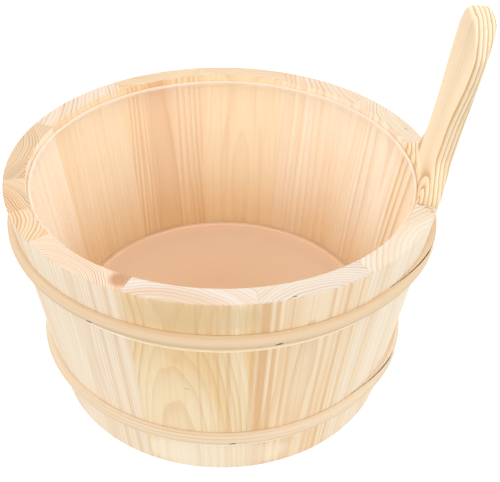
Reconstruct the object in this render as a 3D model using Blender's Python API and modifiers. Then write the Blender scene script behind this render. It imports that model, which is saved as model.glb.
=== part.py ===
# Sauna bucket: pine staves in two wooden hoops, a board bottom and a lift-out plastic liner.
# Metres, +Z up. The bucket stands on z = 0 and its handle stave points to +X.
# The origin is the middle of the footprint box, so the bucket's own axis lies a little to -X.
import math

import bmesh
import bpy
from mathutils import Matrix

# Wall
rim_radius = 0.1300            # outer radius at the rim
foot_radius = 0.1090           # outer radius at the foot
wall_height = 0.1490
stave_thickness = 0.0127       # level, from the inner to the outer face
rim_chamfer = 0.0008           # broken edges of the rim and the foot
stave_gap = 0.0003             # glue line between two staves, at the foot
handle_stave_angle = 33.3      # degrees that the handle stave takes of the circle
stave_angles = (29.0, 28.5, 28.5, 28.0, 32.5, 30.1, 15.4, 13.6, 29.3, 30.8, 28.2, 32.8)
stave_steps = 6                # facets across one stave

# Handle, the long part of its stave
handle_length = 0.1020         # above the rim
waist_width = 0.0456           # narrowest
grip_swell = 0.0134            # added width towards the end
swell_start = 0.0390           # from the rim up to where it widens again
swell_run = 0.0390
flare_run = 0.0230             # above the rim, where it widens into the wall
flatten_run = 0.0240           # above the rim, where its faces leave the wall's curve
ledge_rise = 0.0003            # the back half of its inner face is flat from here up
ledge_run = 0.0100             # width over which that half passes into the front half
set_back = 0.0006              # handle's faces lie this far outside the wall's
upright_share = 0.005          # it leans out this much less than the wall
inner_bow = 0.199              # radius of the slightly rounded inner face, seen from above
outer_bow = 0.096
tip_length = 0.0190            # rounded end, seen from the front
tip_power = 1.5                # 2 would make that end a half ellipse, and less is more pointed
tip_rounding = 0.0050          # rounded end, seen from the side
tip_side_power = 2.5
handle_edge = 0.0038           # rounding of the grip's long edges
stave_edge = 0.0005            # rounding of the same stave's edges in the wall
edge_run = 0.0120              # above the rim, where that rounding grows
face_steps = 6                 # divisions across its inner and outer face
corner_steps = 2               # divisions round each of its long edges

# Bottom
bottom_height = 0.0185         # underside above the ground
bottom_thickness = 0.0120
tongue_thickness = 0.0060      # edge of the boards that enters the staves' groove
croze_depth = 0.0035
bottom_board_count = 3
fit_gap = 0.0003               # clearance between fitted pieces

# Hoops
hoop_width = 0.0088
hoop_thickness = 0.0056
hoop_seat_depth = 0.0012       # groove turned into the staves
hoop_seat_width = 0.0130
upper_hoop_height = 0.1213     # middle of the hoop
lower_hoop_height = 0.0337
hoop_steps = 64
scarf_angle = 12.0             # degrees between the scarf cut and the hoop
scarf_place = 26.0             # degrees from the handle, at the back
scarf_gap = 0.0004

# Pins that hold the hoops
pin_radius = 0.0006
pin_length = 0.0105
pin_tilt = 30.0                # degrees that a pin rises on its way in
pin_sink = 0.0002              # head below the hoop's face
pin_entry = 50.0               # degrees below the middle of the hoop's round face
upper_pin_count = 8
upper_pin_start = 18.0
lower_pin_count = 6
lower_pin_start = 38.0
hole_spare = 0.0020            # hole's extra length at either end
pin_sides = 8

# Liner
liner_wall = 0.0015
liner_floor = 0.0018
liner_clearance = 0.0006       # to the staves, all the way up
liner_drop = 0.0036            # rim of the bucket down to the edge of the liner
liner_fillet = 0.0060          # inside, between floor and wall
liner_under_fillet = 0.0036    # the same corner outside
liner_steps = 72

pine_colour = (0.83, 0.66, 0.43, 1.0)
hoop_colour = (0.84, 0.66, 0.45, 1.0)
bottom_colour = (0.80, 0.62, 0.41, 1.0)
steel_colour = (0.35, 0.33, 0.30, 1.0)
liner_colour = (0.90, 0.68, 0.52, 1.0)


def wall_outer(z):
    """Outer radius of the tapered wall, carried on above the rim for the handle."""
    return foot_radius + (rim_radius - foot_radius) * z / wall_height


def wall_inner(z):
    return wall_outer(z) - stave_thickness


def hoop_seat(middle):
    """Bottom and top of the groove: a hoop is driven up against the groove's upper shoulder."""
    top = middle + hoop_width / 2 + fit_gap
    return top - hoop_seat_width, top


def croze():
    """Bottom and top of the groove inside the staves."""
    middle = bottom_height + bottom_thickness / 2
    half = tongue_thickness / 2 + fit_gap
    return middle - half, middle + half


def outer_profile():
    """Outer face of a stave from foot to rim as radius and height."""
    points = [(wall_outer(0) - rim_chamfer, 0.0), (wall_outer(rim_chamfer), rim_chamfer)]
    for middle in (lower_hoop_height, upper_hoop_height):
        low, high = hoop_seat(middle)
        points += [(wall_outer(low), low), (wall_outer(low) - hoop_seat_depth, low)]
        points += [(wall_outer(high) - hoop_seat_depth, high), (wall_outer(high), high)]
    top = wall_height - rim_chamfer
    return points + [(wall_outer(top), top), (wall_outer(wall_height) - rim_chamfer, wall_height)]


def inner_profile():
    """Inner face of a stave from foot to rim, with the croze."""
    low, high = croze()
    points = [(wall_inner(0), 0.0)]
    points += [(wall_inner(low), low), (wall_inner(low) + croze_depth, low)]
    points += [(wall_inner(high) + croze_depth, high), (wall_inner(high), high)]
    top = wall_height - rim_chamfer
    return points + [(wall_inner(top), top), (wall_inner(wall_height) + rim_chamfer, wall_height)]


def material(name, colour, roughness, metallic=0.0, alpha=1.0):
    made = bpy.data.materials.new(name)
    made.use_nodes = True
    made.diffuse_color = colour
    shader = made.node_tree.nodes["Principled BSDF"]
    shader.inputs["Base Color"].default_value = colour
    shader.inputs["Roughness"].default_value = roughness
    shader.inputs["Metallic"].default_value = metallic
    shader.inputs["Alpha"].default_value = alpha
    return made


def add_object(name, mesh, collection, finish=None, turn=0.0):
    """Link a mesh about the bucket's axis and turn it about that axis, in degrees."""
    made = bpy.data.objects.new(name, mesh)
    made.location.x = axis_x
    made.rotation_euler.z = math.radians(turn)
    collection.objects.link(made)
    if finish:
        mesh.materials.append(finish)
    return made


def mesh_from(name, bm):
    bmesh.ops.recalc_face_normals(bm, faces=bm.faces)
    mesh = bpy.data.meshes.new(name)
    bm.to_mesh(mesh)
    bm.free()
    mesh.shade_smooth()
    mesh.set_sharp_from_angle(angle=math.radians(30))
    return mesh


def spun_sector(name, outline, angle, steps):
    """Solid swept about Z from a flat outline of radius and height points."""
    bm = bmesh.new()
    corners = [bm.verts.new((radius, 0.0, height)) for radius, height in outline]
    face = bm.faces.new(corners)
    parts = corners + list(face.edges) + [face]
    bmesh.ops.spin(bm, geom=parts, cent=(0, 0, 0), axis=(0, 0, 1), angle=math.radians(angle), steps=steps)
    return mesh_from(name, bm)


def turned(name, outline, steps, closed):
    """Edge outline with a Screw modifier: a ring when closed, else a solid that meets the axis."""
    mesh = bpy.data.meshes.new(name)
    count = len(outline)
    edges = [(i, i + 1) for i in range(count - 1)]
    if closed:
        edges.append((count - 1, 0))
    mesh.from_pydata([(radius, 0.0, height) for radius, height in outline], edges, [])
    made = bpy.data.objects.new(name, mesh)
    screw = made.modifiers.new("turn", "SCREW")
    screw.steps = steps
    screw.render_steps = steps
    screw.use_merge_vertices = True
    screw.merge_threshold = 0.00002
    screw.use_smooth_shade = True
    made.location.x = axis_x
    return made


def cut(target, cutter, operation="DIFFERENCE"):
    boolean = target.modifiers.new("cut " + cutter.name, "BOOLEAN")
    boolean.operation = operation
    boolean.object = cutter
    cutter.hide_render = True
    cutter.display_type = "WIRE"


def box_cutter(name, size, location, turn, spin_first=0.0):
    """Box whose middle is at a place about the bucket's axis, turned about Z."""
    bm = bmesh.new()
    bmesh.ops.create_cube(bm, size=1.0)
    bmesh.ops.scale(bm, vec=size, verts=bm.verts)
    mesh = mesh_from(name, bm)
    made = bpy.data.objects.new(name, mesh)
    angle = math.radians(turn)
    radius, height = location
    made.location = (axis_x + radius * math.cos(angle), radius * math.sin(angle), height)
    made.rotation_euler.z = angle + math.radians(spin_first)
    cutters.objects.link(made)
    return made


def rounded_end(distance, run, power):
    """1 before the end run, falling as a superellipse to 0 at the end."""
    share = min(max(1 - distance / run, 0.0), 1.0)
    return math.sqrt(max(1 - share ** power, 0.0))


def smooth_step(share):
    share = min(max(share, 0.0), 1.0)
    return share * share * (3 - 2 * share)


def handle_half_width(rise):
    """Half of the handle's width at a height above the rim, before it widens into the wall."""
    swell = grip_swell * smooth_step((rise - swell_start) / swell_run)
    return (waist_width + swell) / 2 * rounded_end(handle_length - rise, tip_length, tip_power)


def handle_section(height, inner, outer, half_angle):
    """One closed loop of the handle stave: inner face, corner, side, corner, outer face and back.

    In the wall the loop is a sector of the ring. Above the rim its sides sweep in to a waist, and
    its faces turn from the wall's curve to flatter ones. The back half of the inner face is flat
    straight from the rim, so it leaves a small ledge there.
    """
    rise = height - wall_height
    half_inner = inner * math.sin(half_angle)
    half_outer = outer * math.sin(half_angle)
    corner = stave_edge
    if rise > 0:
        flare = smooth_step(1 - rise / flare_run)
        half = handle_half_width(rise)
        half_inner = half + (half_inner - half) * flare
        half_outer = half + (half_outer - half) * flare
        corner = stave_edge + (handle_edge - stave_edge) * smooth_step(rise / edge_run)
    thickness = outer - inner
    corner = min(corner, thickness * 0.42, half_inner * 0.6)
    quarter = []
    for i in range(corner_steps + 1):
        turn = math.pi / 2 * i / corner_steps
        quarter.append((corner - corner * math.sin(turn), corner - corner * math.cos(turn)))
    side = [(in_from_side, depth) for in_from_side, depth in quarter]
    side += [(in_from_side, thickness - depth) for in_from_side, depth in reversed(quarter)]
    loop = []
    for in_from_side, depth in side:
        half = half_inner + (half_outer - half_inner) * depth / thickness
        loop.append((half - in_from_side, depth))
    face = [(loop[-1][0] * (1 - 2 * i / face_steps), loop[-1][1]) for i in range(1, face_steps)]
    back = [(-across, depth) for across, depth in reversed(loop)]
    near = [(loop[0][0] * (2 * i / face_steps - 1), loop[0][1]) for i in range(1, face_steps)]
    points = []
    turned = smooth_step(rise / flatten_run)
    planed = 1.0 if rise >= ledge_rise * 0.99 else turned
    away = set_back - upright_share * rise
    end = rounded_end(handle_length - rise, tip_rounding, tip_side_power)
    for across, depth in loop + face + back + near:
        inner_arc = math.sqrt(inner * inner - across * across)
        outer_arc = math.sqrt(outer * outer - across * across)
        inner_flat = inner + away + across * across / (2 * inner_bow)
        outer_flat = outer + away - across * across / (2 * outer_bow)
        flat = turned + (planed - turned) * smooth_step(0.5 + across / ledge_run)
        low = inner_arc + (inner_flat - inner_arc) * flat
        high = outer_arc + (outer_flat - outer_arc) * turned
        middle = (low + high) / 2
        points.append((middle + (high - low) * (depth / thickness - 0.5) * end, across, height))
    return points


def handle_heights():
    """Heights of the loops above the rim: close together in the flare and at the tip."""
    low = [ledge_rise] + [flare_run * share for share in (0.1, 0.2, 0.32, 0.45, 0.6, 0.78, 1.0)]
    span = handle_length - tip_length - flare_run
    run = [flare_run + span * i / 6 for i in range(1, 7)]
    tip = [handle_length - tip_length * share for share in (0.8, 0.6, 0.42, 0.27, 0.15, 0.06, 0.015)]
    return [wall_height + rise for rise in low + run + tip]


def profile_loops():
    """Inner and outer radius of the handle stave at each height where either face changes."""
    outer = outer_profile()
    inner = inner_profile()
    inner[-1] = (wall_inner(wall_height), wall_height)
    outer[-1] = (wall_outer(wall_height), wall_height)
    loops = []
    for height in sorted({point[1] for point in inner + outer}):
        pairs = []
        for profile in (inner, outer):
            here = [radius for radius, z in profile if z == height]
            if not here:
                below = max((point for point in profile if point[1] < height), key=lambda p: p[1])
                above = min((point for point in profile if point[1] > height), key=lambda p: p[1])
                low = [p for p in profile if p[1] == below[1]][-1]
                share = (height - low[1]) / (above[1] - low[1])
                here = [low[0] + (above[0] - low[0]) * share]
            pairs.append(here)
        for i in range(max(len(pairs[0]), len(pairs[1]))):
            loops.append((height, pairs[0][min(i, len(pairs[0]) - 1)], pairs[1][min(i, len(pairs[1]) - 1)]))
    return loops


def handle_mesh():
    """Handle stave lofted loop by loop from the foot to the tip."""
    half_angle = math.radians(handle_stave_angle) / 2 - stave_gap / 2 / foot_radius
    sections = [handle_section(z, inner, outer, half_angle) for z, inner, outer in profile_loops()]
    for z in handle_heights():
        sections.append(handle_section(z, wall_inner(z), wall_outer(z), half_angle))
    bm = bmesh.new()
    rows = [[bm.verts.new(point) for point in section] for section in sections]
    count = len(rows[0])
    for low, high in zip(rows, rows[1:]):
        for i in range(count):
            j = (i + 1) % count
            bm.faces.new((low[i], low[j], high[j], high[i]))
    bm.faces.new(rows[0])
    bm.faces.new(rows[-1])
    return mesh_from("handle_stave", bm)


def handle_reach():
    """Farthest +X of the handle from the bucket's axis."""
    reach = 0.0
    for z in handle_heights():
        section = handle_section(z, wall_inner(z), wall_outer(z), math.radians(handle_stave_angle) / 2)
        reach = max(reach, max(point[0] for point in section))
    return reach


def hoop_face(middle, angle):
    """Point of a hoop's round face, at an angle in degrees above the middle of the face."""
    turn = math.radians(angle)
    height = middle + hoop_width / 2 * math.sin(turn)
    back = wall_outer(height) - hoop_seat_depth + fit_gap
    return back + hoop_thickness * math.cos(turn), height


def hoop_outline(middle):
    """Half-round section: the round side runs down the outside, the flat back up again."""
    return [hoop_face(middle, 90 - 180 * i / 8) for i in range(9)]


def liner_radius(z):
    """Outer radius of the liner, which follows the staves."""
    return wall_inner(z) - liner_clearance


def liner_outline():
    """From the middle of the floor up the inside, over the edge, down the outside and under."""
    foot = bottom_height + bottom_thickness + fit_gap
    top = wall_height - liner_drop
    floor = foot + liner_floor
    points = [(0.0, floor)]
    corner = liner_radius(floor) - liner_wall - liner_fillet
    for i in range(5):
        turn = math.pi / 2 * i / 4
        radius = corner + liner_fillet * math.sin(turn)
        points.append((radius, floor + liner_fillet * (1 - math.cos(turn))))
    round_edge = liner_wall / 2
    edge_middle = liner_radius(top) - round_edge
    for i in range(5):
        turn = math.pi * i / 4
        points.append((edge_middle - round_edge * math.cos(turn), top - round_edge * (1 - math.sin(turn))))
    corner = liner_radius(foot + liner_under_fillet) - liner_under_fillet
    for i in range(4):
        turn = math.pi / 2 * i / 3
        radius = corner + liner_under_fillet * math.cos(turn)
        points.append((radius, foot + liner_under_fillet * (1 - math.sin(turn))))
    return points + [(0.0, foot)]


def bottom_outline():
    """Round board with a tongue all round, from the middle of its top out, down and back in."""
    low, high = croze()
    top = bottom_height + bottom_thickness
    tongue_top = high - fit_gap
    tongue_low = low + fit_gap
    reach = croze_depth - fit_gap
    points = [(0.0, top), (wall_inner(top) - fit_gap, top)]
    points += [(wall_inner(tongue_top) - fit_gap, tongue_top), (wall_inner(tongue_top) + reach, tongue_top)]
    points += [(wall_inner(tongue_low) + reach, tongue_low), (wall_inner(tongue_low) - fit_gap, tongue_low)]
    return points + [(wall_inner(bottom_height) - fit_gap, bottom_height), (0.0, bottom_height)]


def pin_mesh(name, middle, radius, length):
    """Pin lying from just under the hoop's round face, inward and up into the stave."""
    bm = bmesh.new()
    bmesh.ops.create_cone(bm, cap_ends=True, segments=pin_sides, radius1=radius, radius2=radius, depth=length)
    face_radius, height = hoop_face(middle, -pin_entry)
    tilt = math.radians(pin_tilt)
    along = pin_sink + pin_length / 2
    bmesh.ops.rotate(bm, verts=bm.verts, cent=(0, 0, 0), matrix=Matrix.Rotation(tilt - math.pi / 2, 3, "Y"))
    place = (face_radius - along * math.cos(tilt), 0.0, height + along * math.sin(tilt))
    bmesh.ops.translate(bm, vec=place, verts=bm.verts)
    return mesh_from(name, bm)


def pin_places(start, count):
    return [(start + 360.0 * i / count) % 360 for i in range(count)]


def make_staves(finish):
    """Plain staves round the circle from the handle stave's edge: each with its middle and half angle."""
    outline = outer_profile() + inner_profile()[::-1]
    gap = math.degrees(stave_gap / foot_radius)
    spare = 360.0 - handle_stave_angle
    start = handle_stave_angle / 2
    made = []
    for i, angle in enumerate(stave_angles):
        width = angle * spare / sum(stave_angles)
        name = "stave_%02d" % (i + 1)
        mesh = spun_sector(name, outline, width - gap, stave_steps)
        stave = add_object(name, mesh, bucket, finish, start + gap / 2)
        made.append((stave, start + width / 2, width / 2))
        start += width
    return made


def make_hoop(name, middle, finish):
    hoop = turned(name, hoop_outline(middle), hoop_steps, True)
    hoop.data.materials.append(finish)
    bucket.objects.link(hoop)
    scarf_radius = hoop_face(middle, 0)[0] - hoop_thickness / 2
    reach = 2 * hoop_thickness / math.sin(math.radians(scarf_angle))
    size = (reach, scarf_gap, 2 * hoop_width)
    slit = box_cutter(name + "_scarf", size, (scarf_radius, middle), scarf_place, 90.0 - scarf_angle)
    cut(hoop, slit)
    return hoop


def make_pins(name, middle, places, finish, hoop, staves):
    """A row of pins that share a mesh, each with a drilled hole in the hoop and its stave."""
    pin = pin_mesh(name, middle, pin_radius, pin_length)
    pin.materials.append(finish)
    hole = pin_mesh(name + "_hole", middle, pin_radius + fit_gap, pin_length + 2 * hole_spare)
    hole_half_angle = math.degrees((pin_radius + fit_gap) / foot_radius)
    for i, place in enumerate(places):
        add_object("%s_%d" % (name, i + 1), pin, bucket, None, place)
        drill = add_object("%s_hole_%d" % (name, i + 1), hole, cutters, None, place)
        cut(hoop, drill)
        for stave, middle_angle, half_angle in staves:
            if abs((place - middle_angle + 180) % 360 - 180) < half_angle + hole_half_angle:
                cut(stave, drill)


def make_bottom(finish):
    """Bottom sawn into boards that run along the handle's direction."""
    reach = wall_inner(bottom_height + bottom_thickness) + croze_depth
    width = 2 * reach / bottom_board_count
    for i in range(bottom_board_count):
        name = "bottom_board_%d" % (i + 1)
        board = turned(name, bottom_outline(), hoop_steps, False)
        board.data.materials.append(finish)
        bucket.objects.link(board)
        size = (4 * reach, width - fit_gap, 4 * bottom_thickness)
        across = (i + 0.5) * width - reach
        middle = bottom_height + bottom_thickness / 2
        slab = box_cutter(name + "_slab", size, (across, middle), 90.0, -90.0)
        cut(board, slab, "INTERSECT")


for old in list(bpy.data.objects):
    bpy.data.objects.remove(old, do_unlink=True)

body_reach = max(rim_radius, hoop_face(upper_hoop_height, 0)[0])
axis_x = -(handle_reach() - body_reach) / 2

bucket = bpy.data.collections.new("sauna_bucket")
cutters = bpy.data.collections.new("cutters")
bpy.context.scene.collection.children.link(bucket)
bpy.context.scene.collection.children.link(cutters)

pine = material("pine", pine_colour, 0.55)
hoop_wood = material("hoop wood", hoop_colour, 0.5)
bottom_wood = material("bottom pine", bottom_colour, 0.6)
steel = material("pin steel", steel_colour, 0.4, metallic=1.0)
plastic = material("milky liner plastic", liner_colour, 0.45, alpha=0.6)

handle_stave = add_object("handle_stave", handle_mesh(), bucket, pine)
staves = make_staves(pine) + [(handle_stave, 0.0, handle_stave_angle / 2)]
make_bottom(bottom_wood)
upper_hoop = make_hoop("upper_hoop", upper_hoop_height, hoop_wood)
lower_hoop = make_hoop("lower_hoop", lower_hoop_height, hoop_wood)
upper_places = pin_places(upper_pin_start, upper_pin_count)
lower_places = pin_places(lower_pin_start, lower_pin_count)
make_pins("upper_hoop_pin", upper_hoop_height, upper_places, steel, upper_hoop, staves)
make_pins("lower_hoop_pin", lower_hoop_height, lower_places, steel, lower_hoop, staves)
liner = turned("liner", liner_outline(), liner_steps, False)
liner.data.materials.append(plastic)
bucket.objects.link(liner)
print("bucket axis at x %.5f" % axis_x)
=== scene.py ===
# Sauna bucket: pine staves in two half-round wooden hoops, with a milky plastic liner.
# Lengths are in metres. The bucket stands on z = 0 and its handle stave points to +X.
import math

import bpy
import numpy as np
from mathutils import Matrix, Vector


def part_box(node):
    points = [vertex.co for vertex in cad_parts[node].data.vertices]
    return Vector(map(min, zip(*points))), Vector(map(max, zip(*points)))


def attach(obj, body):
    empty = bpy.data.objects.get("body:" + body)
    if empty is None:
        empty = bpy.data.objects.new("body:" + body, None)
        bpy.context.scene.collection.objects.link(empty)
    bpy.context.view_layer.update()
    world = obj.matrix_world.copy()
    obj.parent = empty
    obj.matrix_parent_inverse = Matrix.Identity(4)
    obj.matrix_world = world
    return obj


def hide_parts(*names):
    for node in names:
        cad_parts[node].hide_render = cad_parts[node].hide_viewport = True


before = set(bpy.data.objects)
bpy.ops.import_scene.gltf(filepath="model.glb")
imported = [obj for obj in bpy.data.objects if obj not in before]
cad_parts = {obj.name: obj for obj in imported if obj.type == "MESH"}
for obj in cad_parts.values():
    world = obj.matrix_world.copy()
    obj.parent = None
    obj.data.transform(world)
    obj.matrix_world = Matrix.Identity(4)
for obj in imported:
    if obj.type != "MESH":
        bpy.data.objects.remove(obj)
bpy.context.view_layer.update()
print("frame: %d nodes" % len(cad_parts))

hoopLow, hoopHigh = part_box("lower_hoop")
axisX = (hoopLow.x + hoopHigh.x) / 2  # the bucket's own axis, from the frame

wall = {
    "rimRadius": 0.1300,
    "footRadius": 0.1090,
    "height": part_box("stave_09")[1].z,
    "thickness": 0.0127,
    "edgeRound": 0.0009,  # sanded edge of rim and foot
    "seatDepth": 0.0012,  # groove that a hoop sits in
    "seatWidth": 0.0130,
    "seatEdge": 0.00025,
    "highlightStrip": 0.0011,  # planed again along a seat's lower edge, and painted brighter there as a highlight
    "stripEdge": 0.0002,
    "crozeLow": 0.0212,  # groove for the bottom boards
    "crozeHigh": 0.0278,
    "crozeDepth": 0.0035,
    "crozeEdge": 0.00002,
    "jointArris": 0.00008,  # broken edge along each joint
    "jointGap": 0.00002,
    "endFade": 1.3,  # above 1, end grain is full before a rounding ends
    "rows": 24,
    "edgeSteps": 7,
    "columns": 17,
    "sharpAngle": 12,
}

hoops = {
    "width": 0.0088,
    "thickness": 0.0056,
    "clearance": 0.0003,
    "upper": {
        "node": "upper_hoop",
        "height": 0.1213,
        "scarf": 331.0,  # degrees round from the handle to the middle of its scarf joint
        "pins": "upper_hoop_pin_",
        "pinStart": 18.0,
        "pinCount": 8,
        "pale": "#e5cba8",
        "seed": 3.0,
    },
    "lower": {
        "node": "lower_hoop",
        "height": 0.0337,
        "scarf": 329.0,
        "pins": "lower_hoop_pin_",
        "pinStart": 38.0,
        "pinCount": 6,
        "pale": "#ebd6b8",
        "seed": 8.0,
    },
    "scarfAngle": 4.8,  # between the joint and the strip
    "scarfGap": 0.00022,
    "standOff": 0.0006,  # how far the joint's outer end has sprung off its inner one
    "standOffPlace": 334.0,
    "standOffReach": 11.0,  # degrees to either side
    "slitLength": 0.0021,  # half length and height of the split where a pin was driven in
    "slitHeight": 0.0008,
    "slitDrop": 0.0010,  # below the middle of the strip
    "slitTilt": 0.16,  # rise for each unit of length
    "slitShift": -0.8,  # degrees from the pin
    "columns": 288,
    "sectionSteps": 25,
    "fullness": 0.8,  # power of the section's cosine: at 1 it is half an ellipse, below 1 fuller
    "sharpAngle": 40,
    "holeSides": 20,
    "holeRadius": 0.0010,
    "holeReach": 0.0072,  # from a pin's middle to either end of its hole
}


# Settings that many nodes share
adding = {"operation": "ADD"}
scaling = {"operation": "MULTIPLY"}
scaleAdding = {"operation": "MULTIPLY_ADD"}
larger = {"operation": "MAXIMUM"}
lengthOf = {"operation": "LENGTH"}
softStep = {"interpolation_type": "SMOOTHSTEP"}
laidOver = {"data_type": "RGBA"}
tinting = {"data_type": "RGBA", "blend_type": "MULTIPLY"}


# Small helpers for nodes, meshes and colours.
def linearColour(hexColour):
    # sRGB to linear: below 0.04045 a twelfth, above it a power of 2.4
    parts = [int(hexColour[i : i + 2], 16) / 255 for i in (1, 3, 5)]
    return tuple(p / 12.92 if p <= 0.04045 else ((p + 0.055) / 1.055) ** 2.4 for p in parts) + (1.0,)


def addNode(tree, kind, settings, inputs):
    # One node: settings are its properties, and an input is a value or another node's output
    node = tree.nodes.new(kind)
    for name, value in settings.items():
        setattr(node, name, value)
    for name, value in inputs.items():
        if isinstance(value, bpy.types.NodeSocket):
            tree.links.new(value, node.inputs[name])
        else:
            node.inputs[name].default_value = value
    return node


def setRamp(node, stops):
    # Stops are (place, hex colour or grey level)
    ramp = node.color_ramp
    while len(ramp.elements) < len(stops):
        ramp.elements.new(0.5)
    for element, (place, value) in zip(ramp.elements, stops):
        element.position = place
        element.color = linearColour(value) if isinstance(value, str) else (value, value, value, 1.0)


def newMaterial(name):
    made = bpy.data.materials.new(name)
    made.use_nodes = True
    return made, made.node_tree, made.node_tree.nodes["Principled BSDF"]


def gridQuads(rows, columns, closeColumns=False):
    # Quads between neighbouring rows and columns of a grid of points
    i = np.arange(rows - 1)[:, None]
    j = np.arange(columns if closeColumns else columns - 1)[None, :]
    k = (j + 1) % columns
    low = i * columns
    high = low + columns
    return np.stack([low + j, low + k, high + k, high + j], axis=-1).reshape(-1, 4)


def aroundAxis(radius, angle, z):
    # Points about the bucket's axis: radius cos angle, radius sin angle and height
    x = axisX + radius * np.cos(angle)
    y = radius * np.sin(angle)
    return np.stack(np.broadcast_arrays(x, y, z), axis=-1)


def enclosedVolume(points, faces):
    # Sum of the signed tetrahedra from the origin to each face, fanned from its first corner
    total = 0.0
    for size in {len(face) for face in faces}:
        corners = points[np.array([face for face in faces if len(face) == size])]
        for i in range(1, size - 1):
            total += np.einsum("ij,ij->i", corners[:, 0], np.cross(corners[:, i], corners[:, i + 1])).sum()
    return total / 6


def newPiece(name, points, faces, material, sharpAngle, layers=None):
    # A closed mesh at the origin, turned right side out if its volume comes out negative. Layers
    # are point attributes that a material reads, with one number for each point.
    points = points.reshape(-1, 3)
    if enclosedVolume(points, faces) < 0:
        faces = [face[::-1] for face in faces]
    mesh = bpy.data.meshes.new(name)
    mesh.from_pydata(points.tolist(), [], faces)
    mesh.shade_smooth()
    mesh.set_sharp_from_angle(angle=math.radians(sharpAngle))
    mesh.materials.append(material)
    for layer, values in (layers or {}).items():
        made = mesh.attributes.new(layer, "FLOAT", "POINT")
        made.data.foreach_set("value", values.astype(np.float32).ravel())
    piece = bpy.data.objects.new(name, mesh)
    bpy.context.scene.collection.objects.link(piece)
    return piece


# Pine that is sawn, planed and sanded, with no varnish: pale spring wood with thin darker
# summer wood, a soft sheen along the fibres and hardly any gloss.
pineLook = {
    "pale": "#f6e8d1",
    "warm": "#efcd9d",  # broad warmer bands that follow the rings
    "late": "#d5a46f",  # summer wood
    "endPale": "#f0dfd6",  # the same three on end grain
    "endWarm": "#ecc9b0",
    "endLate": "#bf8c68",
    "freshAndLit": "#fff6e6",  # turned last, in the grooves for the hoops and along their lower edge: paler fresh wood, with painted light against the hoops' shade in the grooves and a painted highlight along the lower edge
    "roughness": 0.62,
    "lateRoughness": -0.10,  # added on summer wood, which takes more polish
    "specular": 0.30,
    "warpLength": 24.0,  # mm, slow wander of the rings across the board
    "warpRun": 150.0,  # mm, the same along the fibres
    "warpSize": 2.4,
    "rippleLength": 5.0,
    "rippleRun": 60.0,
    "rippleSize": 0.3,
    # tones through one year, from pale spring wood to the hard line that ends it
    "year": [(0.0, 0.0), (0.25, 0.03), (0.60, 0.34), (0.84, 0.93), (0.94, 1.0), (1.0, 0.0)],
    "groupWidth": 12.8,  # mm, of a group of years alike in strength
    "groupSpan": (0.36, 0.62),  # noise lies mostly from 0.3 to 0.7, and a span is the part used
    "bandWidth": 8.0,  # mm, of a warmer band
    "bandSpan": (0.46, 0.66),
    "bandRun": 260.0,
    "bandAcross": 90.0,
    "threadWidth": 2.0,  # mm, fine warm lines along the board
    "threadRun": 420.0,
    "threadSpan": (0.48, 0.72),
    "thread": 0.16,
    "streak": "#dba86c",  # broader lines, which have a place of their own
    "streakSpan": (1.6, 0.8),  # in half widths, so its edge is soft
    "fibreWidth": 0.45,  # mm: real fibres are finer and would not show
    "fibreRun": 16.0,
    "fibreTone": 0.05,
    "ringRelief": 0.05,  # mm that summer wood stands proud after sanding
    "fibreRelief": 0.03,
    "reliefShare": 0.6,
    "spacing": 2.4,  # mm from year to year
    "uneven": 0.7,
    "unevenScale": 0.11,
    "steady": 0.45,  # strength of the faintest year's line
    "phase": 0.0,
    "contrast": 0.6,
    "endContrast": 0.6,
    "drift": 0.5,
    "bow": 0.0,  # mm that the heart comes nearer, away from one height
    "bowAt": 0.0,  # mm above the rim
    "bowRun": 40.0,
    "tint": "#ffffff",
    "endTint": "#ffffff",
    "streaks": (),  # angle round the bucket, half width in mm, share
    "marks": (),
    "markFray": 0.6,  # how far the fibres fray a mark's edge, in parts of its size
}


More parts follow.
